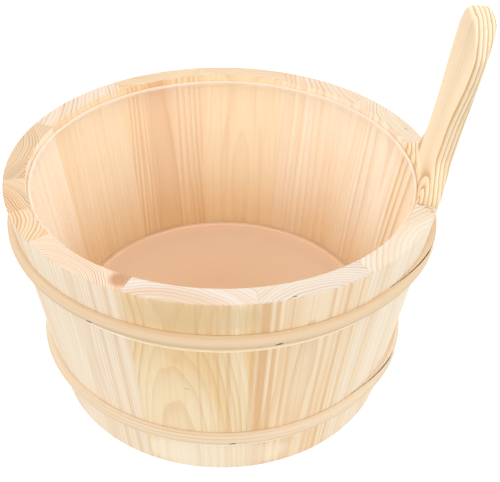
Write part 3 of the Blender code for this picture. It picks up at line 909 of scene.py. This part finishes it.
def hoopMaterial(name, hoop):
    # The UV map is metres along the strip and round its section
    made, tree, shader = newMaterial(name)
    strip = addNode(tree, "ShaderNodeUVMap", {"uv_map": "strip"}, {}).outputs[0]
    seed = hoop["seed"]
    noises = []
    for width, run, detail, shift in (
        (hoopLook["lineWidth"], hoopLook["lineRun"], 1.0, seed),
        (hoopLook["fibreWidth"], hoopLook["fibreRun"], 2.0, seed + 4),
        (hoopLook["patchWidth"], hoopLook["patchRun"], 1.0, seed + 9),
    ):
        inputs = {0: strip, 1: (1000 / run, 1000 / width, 0), 2: (shift, shift, shift)}
        stretched = addNode(tree, "ShaderNodeVectorMath", scaleAdding, inputs).outputs[0]
        inputs = {"Vector": stretched, "Scale": 1.0, "Detail": detail, "Roughness": 0.5}
        noises.append(addNode(tree, "ShaderNodeTexNoise", {}, inputs).outputs[0])
    lines, fibre, patch = noises
    around = addNode(tree, "ShaderNodeSeparateXYZ", {}, {0: strip}).outputs[1]

    # Splits: the angle round the bucket from the nearest pin, and the height, in units of a split
    place = addNode(tree, "ShaderNodeTexCoord", {}, {}).outputs["Object"]
    spot = addNode(tree, "ShaderNodeSeparateXYZ", {}, {0: place}).outputs
    step = 2 * math.pi / hoop["pinCount"]
    first = math.radians(hoop["pinStart"] + hoops["slitShift"]) / step
    fromAxis = addNode(tree, "ShaderNodeMath", adding, {0: spot[0], 1: -axisX}).outputs[0]
    turned = addNode(tree, "ShaderNodeMath", {"operation": "ARCTAN2"}, {0: spot[1], 1: fromAxis}).outputs[0]
    inputs = {0: turned, 1: 1 / step, 2: 0.5 - first}
    turned = addNode(tree, "ShaderNodeMath", scaleAdding, inputs).outputs[0]
    turned = addNode(tree, "ShaderNodeMath", {"operation": "FRACT"}, {0: turned}).outputs[0]
    apart = step * outerRadius(hoop["height"]) / hoops["slitLength"]
    across = addNode(tree, "ShaderNodeMath", scaleAdding, {0: turned, 1: apart, 2: -apart / 2}).outputs[0]
    middle = hoop["height"] - hoops["slitDrop"]
    inputs = {0: spot[2], 1: 1 / hoops["slitHeight"], 2: -middle / hoops["slitHeight"]}
    up = addNode(tree, "ShaderNodeMath", scaleAdding, inputs).outputs[0]
    tilt = -hoops["slitTilt"] * hoops["slitLength"] / hoops["slitHeight"]
    up = addNode(tree, "ShaderNodeMath", scaleAdding, {0: across, 1: tilt, 2: up}).outputs[0]
    offset = addNode(tree, "ShaderNodeCombineXYZ", {}, {0: across, 1: up}).outputs[0]
    fromSplit = addNode(tree, "ShaderNodeVectorMath", lengthOf, {0: offset}).outputs["Value"]

    # Tones laid over the pale wood one after another: grain lines, the painted shade below the crown, the
    # painted highlight on the lowest edge and the splits
    colour = linearColour(hoop["pale"])
    for value, part, tone in (
        (lines, "line", "late"),
        (around, "under", "under"),
        (around, "litLip", "litLip"),
        (fromSplit, "slit", "slit"),
    ):
        start, end = hoopLook[part + "Span"]
        inputs = {"Value": value, "From Min": start, "From Max": end, "To Max": hoopLook[part + "Share"]}
        share = addNode(tree, "ShaderNodeMapRange", softStep, inputs).outputs[0]
        inputs = {0: share, 6: colour, 7: linearColour(hoopLook[tone])}
        colour = addNode(tree, "ShaderNodeMix", laidOver, inputs).outputs[2]
    inputs = {0: fibre, 1: hoopLook["fibreTone"], 2: hoopLook["plainTone"]}
    tone = addNode(tree, "ShaderNodeMath", scaleAdding, inputs).outputs[0]
    inputs = {0: patch, 1: hoopLook["patchTone"], 2: tone}
    tone = addNode(tree, "ShaderNodeMath", scaleAdding, inputs).outputs[0]
    grey = addNode(tree, "ShaderNodeCombineXYZ", {}, {0: tone, 1: tone, 2: tone}).outputs[0]
    colour = addNode(tree, "ShaderNodeVectorMath", scaling, {0: colour, 1: grey}).outputs[0]
    inputs = {0: fibre, 1: hoopLook["fibreRelief"] / 1000}
    relief = addNode(tree, "ShaderNodeMath", scaling, inputs).outputs[0]
    inputs = {"Height": relief, "Distance": 1.0, "Strength": hoopLook["reliefShare"]}
    bump = addNode(tree, "ShaderNodeBump", {}, inputs)
    tree.links.new(colour, shader.inputs["Base Color"])
    tree.links.new(bump.outputs[0], shader.inputs["Normal"])
    shader.inputs["Roughness"].default_value = hoopLook["roughness"]
    shader.inputs["Specular IOR Level"].default_value = hoopLook["specular"]
    return made


def hoopSection(middle):
    # From the top edge round the outside to the bottom edge, over half a turn: the height goes
    # with its sine, and the bulge off the flat back with a power of its cosine
    turn = np.radians(np.linspace(90, -90, hoops["sectionSteps"]))
    z = middle + hoops["width"] / 2 * np.sin(turn)
    bulge = hoops["thickness"] * np.cos(turn) ** hoops["fullness"]
    back = outerRadius(z) - wall["seatDepth"] + hoops["clearance"]
    return back, bulge, z


def wireHoles(hoop):
    # One cylinder along each wire pin of the frame, wider and longer than the pin
    turn = np.linspace(0, 2 * np.pi, hoops["holeSides"], endpoint=False)
    tube = gridQuads(2, hoops["holeSides"], closeColumns=True)
    points = []
    faces = []
    for number in range(1, hoop["pinCount"] + 1):
        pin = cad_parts[hoop["pins"] + str(number)]
        corners = np.empty(len(pin.data.vertices) * 3)
        pin.data.vertices.foreach_get("co", corners)
        placed = np.array(pin.matrix_world)
        corners = corners.reshape(-1, 3) @ placed[:3, :3].T + placed[:3, 3]
        middle = corners.mean(axis=0)
        along = np.linalg.svd(corners - middle)[2][0]
        side = np.cross(along, (0, 0, 1))
        side = side / np.linalg.norm(side)
        ring = np.cos(turn)[:, None] * side + np.sin(turn)[:, None] * np.cross(along, side)
        first = 2 * hoops["holeSides"] * (number - 1)
        for end in (-1, 1):
            points.append(middle + along * end * hoops["holeReach"] + ring * hoops["holeRadius"])
        faces += (tube + first).tolist()
        faces.append(list(range(first, first + hoops["holeSides"]))[::-1])
        faces.append(list(range(first + hoops["holeSides"], first + 2 * hoops["holeSides"])))
    return np.concatenate(points), faces


def drillHoles(piece, hoop):
    # Boolean with all the holes at once, whose result becomes the piece's own mesh
    points, faces = wireHoles(hoop)
    drill = newPiece(piece.name + "_drill", points, faces, piece.data.materials[0], hoops["sharpAngle"])
    cut = piece.modifiers.new("pin holes", "BOOLEAN")
    cut.object = drill
    graph = bpy.context.evaluated_depsgraph_get()
    shaped = piece.evaluated_get(graph)
    drilled = bpy.data.meshes.new_from_object(shaped, preserve_all_data_layers=True, depsgraph=graph)
    piece.modifiers.clear()
    piece.data = drilled
    drilled.set_sharp_from_angle(angle=math.radians(hoops["sharpAngle"]))
    bpy.data.objects.remove(drill, do_unlink=True)
    print("%s drilled: %d faces" % (piece.name, len(drilled.polygons)))


def makeHoop(name, hoop):
    # The section is carried round once. Every loop is slanted by the scarf's angle, so the two
    # ends lie over each other with a thin gap, and the outer end's loops move out where it has
    # sprung. Each end is closed by quads between the upper and lower halves of its loop.
    back, bulge, z = hoopSection(hoop["height"])
    middleRadius = outerRadius(hoop["height"])
    slope = math.radians(hoops["scarfAngle"])
    slant = (bulge - hoops["thickness"] / 2) / math.tan(slope) / middleRadius
    gap = hoops["scarfGap"] / math.sin(slope) / middleRadius
    share = np.linspace(0, 1, hoops["columns"] + 1)
    angles = math.radians(hoop["scarf"]) + gap / 2 + share[:, None] * (2 * np.pi - gap) + slant[None, :]
    away = (np.degrees(angles) - hoops["standOffPlace"] + 180) % 360 - 180
    standOff = hoops["standOff"] * np.exp(-((away / hoops["standOffReach"]) ** 2)) * (share[:, None] > 0.5)
    radius = back[None, :] + bulge[None, :] + standOff
    points = aroundAxis(radius, angles, z[None, :])
    rows, columns = radius.shape
    faces = gridQuads(rows, columns, closeColumns=True).tolist()
    i = np.arange(columns // 2 - 1)
    cap = np.stack([i, i + 1, columns - 2 - i, columns - 1 - i], axis=-1).tolist()
    cap.append([columns // 2 - 1, columns // 2, columns // 2 + 1])
    last = (rows - 1) * columns
    faces += [face[::-1] for face in cap] + [[corner + last for corner in face] for face in cap]
    material = hoopMaterial(name + " pine", hoop)
    piece = newPiece(name, points, faces, material, hoops["sharpAngle"])
    mesh = piece.data
    around = np.concatenate([[0], np.cumsum(np.hypot(np.diff(back + bulge), np.diff(z)))])
    along = np.repeat(share * 2 * np.pi * middleRadius, columns)
    metres = np.stack([along, np.tile(around, rows)], axis=-1)
    corners = np.empty(len(mesh.loops), dtype=np.int32)
    mesh.loops.foreach_get("vertex_index", corners)
    layer = mesh.uv_layers.new(name="strip")
    layer.data.foreach_set("uv", metres[corners].astype(np.float32).ravel())
    drillHoles(piece, hoop)
    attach(piece, "bucket")
    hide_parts(hoop["node"])


liner = {
    "clearance": 0.0006,
    "wall": 0.0015,
    "floorTop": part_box("bottom_board_2")[1].z + 0.0003 + 0.0014,  # 0.3 mm of air, 1.4 mm of floor
    "underside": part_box("liner")[0].z,
    "top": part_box("liner")[1].z,
    "middle": 0.0120,  # radius of the one flat face in the middle of its floor
    "fillet": 0.0022,
    "underFillet": 0.0036,
    "flatSteps": 7,
    "curveSteps": 9,
    "wallSteps": 14,
    "columns": 180,
    "sharpAngle": 60,
    "colour": "#fff0e0",
    "lowColour": "#fad3a2",  # painted bounce light low on the wall, where light has gone from wood to wood; with lowAlpha it also veils the shaded gap behind the liner
    "lowStart": 0.095,
    "lowEnd": 0.036,
    "lowAlpha": 0.22,
    "floorColour": "#d4af8e",
    "sideColour": "#e2c2a5",
    "standOffAndHighlightColour": "#e8c6aa",  # paler at the edge of the floor, which stands off the boards, and a painted highlight along its rounded edge
    "bandStart": 0.030,  # the floor's tones run from this radius to the next
    "bandEnd": 0.0945,
    "sidePart": (0.8, 0.9),  # the part of that way that has the side colour
    "floorStart": 0.7,  # part of the fillet's height up to which it looks like the floor
    "floorFull": 0.1,
    "wallAlpha": 0.12,
    "floorAlpha": 0.78,
    "topAlpha": 0.45,  # added at its upper edge, which is thicker
    "topStart": 0.0030,  # below the edge
    "topEnd": 0.0008,
    "roughness": 0.48,
    "specular": 0.2,
    "ior": 1.5,
}


def makeLiner():
    # Profile from the middle of the floor up the inside, over the rounded edge, down the outside
    # and under, turned about the bucket's axis. One flat face closes the middle of each side.
    def outside(z):
        return innerRadius(z) - liner["clearance"]

    floor = liner["floorTop"]
    top = liner["top"]
    under = liner["underside"]
    turn = np.linspace(0, np.pi / 2, liner["curveSteps"])
    corner = outside(floor) - liner["wall"] - liner["fillet"]
    flats = np.linspace(liner["middle"], corner, liner["flatSteps"])
    r = [flats, corner + liner["fillet"] * np.sin(turn)[1:]]
    z = [np.full_like(flats, floor), floor + liner["fillet"] * (1 - np.cos(turn))[1:]]
    rise = np.linspace(floor + liner["fillet"], top - liner["wall"] / 2, liner["wallSteps"])[1:]
    r.append(outside(rise) - liner["wall"])
    z.append(rise)
    edge = np.linspace(0, np.pi, liner["curveSteps"])[1:]
    r.append(outside(top) - liner["wall"] / 2 * (1 + np.cos(edge)))
    z.append(top - liner["wall"] / 2 * (1 - np.sin(edge)))
    fall = np.linspace(top - liner["wall"] / 2, under + liner["underFillet"], liner["wallSteps"])[1:]
    r.append(outside(fall))
    z.append(fall)
    base = outside(under + liner["underFillet"]) - liner["underFillet"]
    r.append(base + liner["underFillet"] * np.cos(turn)[1:])
    z.append(under + liner["underFillet"] * (1 - np.sin(turn))[1:])
    r.append([liner["middle"]])
    z.append([under])
    r = np.concatenate(r)
    z = np.concatenate(z)
    angles = np.linspace(0, 2 * np.pi, liner["columns"], endpoint=False)
    points = aroundAxis(r[:, None], angles, z[:, None])
    rows, columns = points.shape[:2]
    faces = gridQuads(rows, columns, closeColumns=True).tolist()
    faces.append(list(range(columns))[::-1])
    faces.append(list(range((rows - 1) * columns, rows * columns)))
    piece = newPiece("milky_liner", points, faces, linerMaterial(), liner["sharpAngle"])
    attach(piece, "liner")
    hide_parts("liner")
    print("liner: %d points" % (rows * columns))


def linerMaterial():
    # Polyethylene, moulded thin: milky, so wood that touches it shows through softly and the
    # floor, which stands off the boards, is nearly plain.
    made, tree, shader = newMaterial("milky polyethylene")
    place = addNode(tree, "ShaderNodeTexCoord", {}, {}).outputs["Object"]
    height = addNode(tree, "ShaderNodeSeparateXYZ", {}, {0: place}).outputs[2]
    inputs = {0: place, 1: (1, 1, 0), 2: (-axisX, 0, 0)}
    level = addNode(tree, "ShaderNodeVectorMath", scaleAdding, inputs).outputs[0]
    radius = addNode(tree, "ShaderNodeVectorMath", lengthOf, {0: level}).outputs["Value"]
    inputs = {"Value": radius, "From Min": liner["bandStart"], "From Max": liner["bandEnd"]}
    outward = addNode(tree, "ShaderNodeMapRange", {}, inputs).outputs[0]
    floor = addNode(tree, "ShaderNodeValToRGB", {}, {"Fac": outward})
    tones = [(part, liner["sideColour"]) for part in liner["sidePart"]]
    setRamp(floor, [(0.0, liner["floorColour"]), *tones, (1.0, liner["standOffAndHighlightColour"])])

    # Shares of the floor, of the wall's lower part and of the upper edge, each from the height
    # where it starts to the height where it is full
    fillet = liner["fillet"]
    shares = []
    for start, full in (
        (liner["floorTop"] + fillet * liner["floorStart"], liner["floorTop"] + fillet * liner["floorFull"]),
        (liner["lowStart"], liner["lowEnd"]),
        (liner["top"] - liner["topStart"], liner["top"] - liner["topEnd"]),
    ):
        inputs = {"Value": height, "From Min": start, "From Max": full}
        shares.append(addNode(tree, "ShaderNodeMapRange", softStep, inputs).outputs[0])
    onFloor, low, edge = shares
    inputs = {0: low, 6: linearColour(liner["colour"]), 7: linearColour(liner["lowColour"])}
    colour = addNode(tree, "ShaderNodeMix", laidOver, inputs).outputs[2]
    inputs = {0: onFloor, 6: colour, 7: floor.outputs[0]}
    colour = addNode(tree, "ShaderNodeMix", laidOver, inputs).outputs[2]
    inputs = {0: low, 1: liner["lowAlpha"] - liner["wallAlpha"], 2: liner["wallAlpha"]}
    alpha = addNode(tree, "ShaderNodeMath", scaleAdding, inputs).outputs[0]
    inputs = {0: edge, 1: liner["topAlpha"], 2: alpha}
    alpha = addNode(tree, "ShaderNodeMath", scaleAdding, inputs).outputs[0]
    inputs = {0: onFloor, 2: alpha, 3: liner["floorAlpha"]}
    alpha = addNode(tree, "ShaderNodeMix", {"data_type": "FLOAT"}, inputs).outputs[0]
    tree.links.new(colour, shader.inputs["Base Color"])
    tree.links.new(alpha, shader.inputs["Alpha"])
    shader.inputs["Roughness"].default_value = liner["roughness"]
    shader.inputs["Specular IOR Level"].default_value = liner["specular"]
    shader.inputs["IOR"].default_value = liner["ior"]
    return made


# Heart of each bottom board's rings
bottomPith = {
    "step": 0.07,  # from board to board
    "aside": 0.012,
    "depth": -0.05,
}


def dressBoards():
    # The bottom boards lie along the handle's direction, so their fibres run along X
    for number in (1, 2, 3):
        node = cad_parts["bottom_board_%d" % number]
        board = {"seed": 90.0 + number}
        pith = (axisX, (number - 2) * bottomPith["step"] + bottomPith["aside"], bottomPith["depth"])
        turn = (0.0, math.radians(90), 0.0)
        material = pineMaterial("bottom pine %d" % number, turn, pith, board)
        node.data.materials.clear()
        node.data.materials.append(material)
    print("bottom boards dressed")


wireLook = {
    "dark": "#4c433c",
    "pale": "#74685d",
    "stainScale": 1800.0,  # patches of about half a millimetre
    "roughness": 0.5,
}


def dressPins():
    # Steel wire, drawn and then dulled by damp, which breaks its shine into patches
    made, tree, shader = newMaterial("dulled steel wire")
    place = addNode(tree, "ShaderNodeTexCoord", {}, {}).outputs["Object"]
    inputs = {"Vector": place, "Scale": wireLook["stainScale"], "Detail": 2.0}
    stain = addNode(tree, "ShaderNodeTexNoise", {}, inputs).outputs[0]
    colour = addNode(tree, "ShaderNodeValToRGB", {}, {"Fac": stain})
    setRamp(colour, [(0.3, wireLook["dark"]), (0.7, wireLook["pale"])])
    tree.links.new(colour.outputs[0], shader.inputs["Base Color"])
    shader.inputs["Metallic"].default_value = 1.0
    shader.inputs["Roughness"].default_value = wireLook["roughness"]
    for name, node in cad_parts.items():
        if "_pin_" in name:
            node.data.materials.clear()
            node.data.materials.append(made)
    print("pins dressed")


camera = {
    "place": (0.03662 + axisX, -0.45030, 0.43020),
    "down": 36.963,  # degrees below level
    "heading": 2.488,  # degrees to the left of +Y
    "roll": 1.354,
    "lens": 63.293,
}

light = {
    "world": 1.2,
    "background": 1.0,
    "floorTone": "#c8c8c8",  # white card away from the lamps
    "floorGlow": 0.24,  # added close to the bucket, where the lamps reach it
    "glowReach": 0.25,
    "cardHalf": 4.0,
    "cardDrop": 0.0002,  # below the bucket's foot
    "seenTone": "#aaaaaa",  # of the card as the camera sees it
    "seenGlow": 0.75,
    "left": {"place": (-1.1, -0.5, 1.1), "size": 1.3, "power": 1.4},
    "right": {"place": (1.2, 0.1, 1.0), "size": 1.2, "power": 1.4},
    "mouth": {"place": (axisX, 0.0, 0.152), "size": 0.19, "power": 0.088},
}


def makeCamera():
    # Turned by its roll, then tipped down, then turned to its heading
    data = bpy.data.cameras.new("camera")
    data.lens = camera["lens"]
    data.sensor_width = 36
    data.clip_start = 0.01
    made = bpy.data.objects.new("camera", data)
    turn = Matrix.Rotation(math.radians(camera["heading"]), 4, "Z")
    tip = Matrix.Rotation(math.radians(90 - camera["down"]), 4, "X")
    roll = Matrix.Rotation(math.radians(camera["roll"]), 4, "Z")
    made.matrix_world = Matrix.Translation(camera["place"]) @ turn @ tip @ roll
    bpy.context.scene.collection.objects.link(made)
    bpy.context.scene.camera = made


def makeLight():
    # The light in the bucket's mouth makes up for what the walls keep out
    for name in ("left", "right", "mouth"):
        lamp = light[name]
        data = bpy.data.lights.new(name + " softbox", "AREA")
        data.shape = "DISK"
        data.size = lamp["size"]
        data.energy = lamp["power"]
        made = bpy.data.objects.new(data.name, data)
        made.location = lamp["place"]
        made.rotation_euler = lampTurn(lamp["place"])
        made.visible_camera = False
        made.visible_glossy = name != "mouth"
        bpy.context.scene.collection.objects.link(made)


def lampTurn(place):
    # Turn that points a lamp's -Z from its place at the middle of the bucket
    x, y, z = place[0] - axisX, place[1], place[2] - wall["height"] / 2
    return (0.0, math.acos(z / math.sqrt(x * x + y * y + z * z)), math.atan2(y, x))


def seenDirectly(tree):
    # 1 for camera rays and for rays that glass or a gloss sends on, 0 for light itself
    rays = addNode(tree, "ShaderNodeLightPath", {}, {}).outputs
    share = rays["Is Camera Ray"]
    for other in ("Is Transmission Ray", "Is Glossy Ray"):
        share = addNode(tree, "ShaderNodeMath", larger, {0: share, 1: rays[other]}).outputs[0]
    return share


def makeWorld():
    # White to whatever sees it, and a little stronger as light
    world = bpy.data.worlds.new("studio")
    bpy.context.scene.world = world
    world.use_nodes = True
    tree = world.node_tree
    tree.nodes.clear()
    seen = seenDirectly(tree)
    inputs = {0: seen, 1: light["background"] - light["world"], 2: light["world"]}
    strength = addNode(tree, "ShaderNodeMath", scaleAdding, inputs).outputs[0]
    back = addNode(tree, "ShaderNodeBackground", {}, {"Color": (1, 1, 1, 1), "Strength": strength})
    addNode(tree, "ShaderNodeOutputWorld", {}, {"Surface": back.outputs[0]})


def makeFloor():
    # White card. Part of what the camera sees of it is its own light, so it stays white and the
    # bucket's shadow stays soft. It lights the bucket most from close by, falling off with the
    # distance from the bucket as 1 / (1 + q q), where q is (distance / glowReach) squared.
    mesh = bpy.data.meshes.new("white card")
    half = light["cardHalf"]
    level = -light["cardDrop"]
    corners = [(x * half, y * half, level) for x, y in ((-1, -1), (1, -1), (1, 1), (-1, 1))]
    mesh.from_pydata(corners, [], [(0, 1, 2, 3)])
    floor = bpy.data.objects.new("white_card", mesh)
    bpy.context.scene.collection.objects.link(floor)
    made = bpy.data.materials.new("white card")
    made.use_nodes = True
    tree = made.node_tree
    tree.nodes.clear()
    seen = seenDirectly(tree)
    place = addNode(tree, "ShaderNodeTexCoord", {}, {}).outputs["Object"]
    reach = (1 / light["glowReach"],) * 3
    away = addNode(tree, "ShaderNodeVectorMath", scaling, {0: place, 1: reach}).outputs[0]
    q = addNode(tree, "ShaderNodeVectorMath", {"operation": "DOT_PRODUCT"}, {0: away, 1: away})
    q = q.outputs["Value"]
    fall = addNode(tree, "ShaderNodeMath", scaleAdding, {0: q, 1: q, 2: 1.0}).outputs[0]
    inputs = {0: light["floorGlow"], 1: fall}
    near = addNode(tree, "ShaderNodeMath", {"operation": "DIVIDE"}, inputs).outputs[0]
    nearGlow = addNode(tree, "ShaderNodeEmission", {}, {"Color": (1, 1, 1, 1), "Strength": near})
    paper = addNode(tree, "ShaderNodeBsdfDiffuse", {}, {"Color": linearColour(light["floorTone"])})
    paper = addNode(tree, "ShaderNodeAddShader", {}, {0: paper.outputs[0], 1: nearGlow.outputs[0]})
    seenPaper = addNode(tree, "ShaderNodeBsdfDiffuse", {}, {"Color": linearColour(light["seenTone"])})
    glow = addNode(tree, "ShaderNodeEmission", {}, {"Color": (1, 1, 1, 1), "Strength": light["seenGlow"]})
    lit = addNode(tree, "ShaderNodeAddShader", {}, {0: seenPaper.outputs[0], 1: glow.outputs[0]})
    mix = addNode(tree, "ShaderNodeMixShader", {}, {0: seen, 1: paper.outputs[0], 2: lit.outputs[0]})
    addNode(tree, "ShaderNodeOutputMaterial", {}, {"Surface": mix.outputs[0]})
    mesh.materials.append(made)


makeCamera()
makeLight()
makeWorld()
makeFloor()
print("studio ready")
makeStaves()
makeHandleStave()
makeHoop("upper_hoop_strip", hoops["upper"])
makeHoop("lower_hoop_strip", hoops["lower"])
print("hoops bent")
makeLiner()
dressBoards()
dressPins()

bpy.context.scene.view_settings.view_transform = "Standard"
